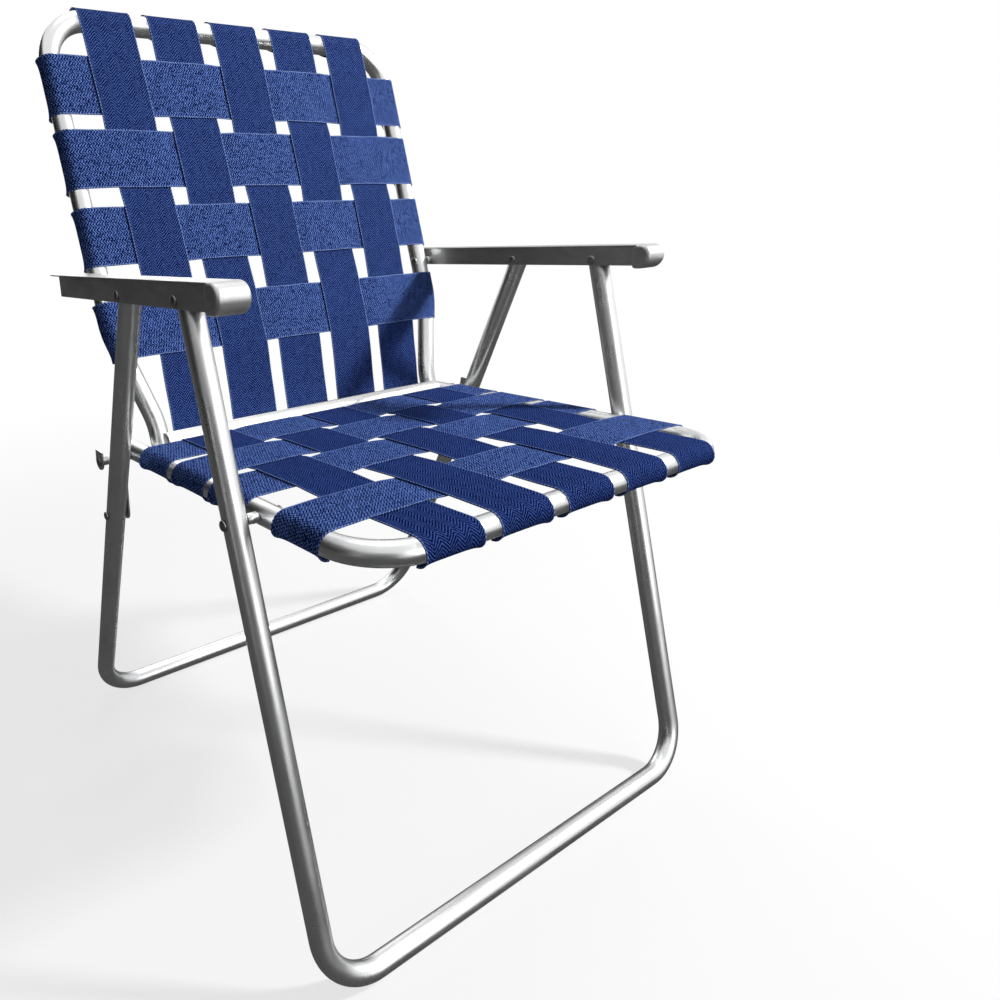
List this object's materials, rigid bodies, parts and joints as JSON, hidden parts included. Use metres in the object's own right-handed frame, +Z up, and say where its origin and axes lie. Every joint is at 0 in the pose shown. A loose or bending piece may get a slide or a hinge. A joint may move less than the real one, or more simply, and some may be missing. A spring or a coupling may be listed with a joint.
{
  "type": "folding webbed lawn chair",
  "caption": "Folding tubular aluminium lawn chair with woven flat webbing on seat and back, pressed arms and U-shaped floor legs.",
  "frame": {"origin": "on the floor, under the middle of the open chair's box", "axes": "+Z up, -Y the way the sitter faces, +X across the chair"},
  "size_m": [0.5884, 0.6583, 0.8414],
  "materials": {
    "tube": "bright drawn aluminium tube",
    "arm": "pressed and rolled aluminium, lightly brushed",
    "fitting": "plain stamped aluminium",
    "rivet": "plain steel",
    "webbing": "flat woven polypropylene webbing"
  },
  "bodies": {
    "back": {"back_frame": "tube", "back_cross_tube": "tube", "back_row_1": "webbing", "back_row_2": "webbing", "back_row_3": "webbing", "back_row_4": "webbing", "back_strap_1": "webbing", "back_strap_2": "webbing", "back_strap_3": "webbing", "back_strap_4": "webbing", "back_strap_5": "webbing"},
    "arms": {"arm_left": "arm", "arm_right": "arm", "front_leg_rivet_left": "rivet", "front_leg_rivet_right": "rivet", "rear_leg_rivet_left": "rivet", "rear_leg_rivet_right": "rivet", "arm_back_rivet_left": "rivet", "arm_back_rivet_right": "rivet", "arm_back_spacer_left": "fitting", "arm_back_spacer_right": "fitting"},
    "front_legs": {"front_leg_frame": "tube"},
    "rear_legs": {"rear_leg_frame": "tube", "link_foot_rivet_left": "rivet", "link_foot_rivet_right": "rivet"},
    "seat": {"seat_frame": "tube", "seat_row_1": "webbing", "seat_row_2": "webbing", "seat_row_3": "webbing", "seat_row_4": "webbing", "seat_strap_1": "webbing", "seat_strap_2": "webbing", "seat_strap_3": "webbing", "seat_strap_4": "webbing", "seat_strap_5": "webbing", "seat_strap_tail_1": "webbing", "seat_strap_tail_2": "webbing", "seat_strap_tail_3": "webbing", "seat_strap_tail_4": "webbing", "seat_strap_tail_5": "webbing", "seat_leg_rivet_left": "rivet", "seat_leg_rivet_right": "rivet", "seat_leg_spacer_left": "fitting", "seat_leg_spacer_right": "fitting", "fold_pin_left": "rivet", "fold_pin_right": "rivet", "foot_washer_left": "fitting", "foot_washer_right": "fitting", "link_spacer_left": "fitting", "link_spacer_right": "fitting"},
    "links": {"link_plate_left": "fitting", "link_plate_right": "fitting", "ear_plate_left": "fitting", "ear_plate_right": "fitting", "ear_spacer_left": "fitting", "ear_spacer_right": "fitting", "link_foot_cap_left": "rivet", "link_foot_cap_right": "rivet"}
  },
  "joints": [
    {"name": "arm_fold", "type": "hinge", "parent": "back", "child": "arms", "pos_m": [0, 0.1871, 0.5598], "axis": [-1, 0, 0], "range_deg": [0, 80]},
    {"name": "seat_fold", "type": "hinge", "parent": "back", "child": "seat", "pos_m": [0, 0.11356, 0.3857], "axis": [-1, 0, 0], "range_deg": [0, 80], "deforming": ["seat_row_4", "seat_strap_tail_1", "seat_strap_tail_2", "seat_strap_tail_3", "seat_strap_tail_4", "seat_strap_tail_5"]},
    {"name": "front_leg_fold", "type": "hinge", "parent": "arms", "child": "front_legs", "pos_m": [0, -0.07257, 0.59228], "axis": [-1, 0, 0], "range_deg": [-80, 0]},
    {"name": "rear_leg_fold", "type": "hinge", "parent": "arms", "child": "rear_legs", "pos_m": [0, 0.04104, 0.57807], "axis": [-1, 0, 0], "range_deg": [-48.5, 0]},
    {"name": "link_fold", "type": "hinge", "parent": "seat", "child": "links", "pos_m": [0, 0.11356, 0.3857], "axis": [-1, 0, 0], "range_deg": [0, 87.4]}
  ],
  "couplings": [
    {"joint": "seat_fold", "follows": "arm_fold", "ratio": 1},
    {"joint": "front_leg_fold", "follows": "arm_fold", "ratio": -1},
    {"joint": "rear_leg_fold", "follows": "arm_fold", "ratio": -0.6062},
    {"joint": "link_fold", "follows": "arm_fold", "ratio": 1.0917}
  ]
}
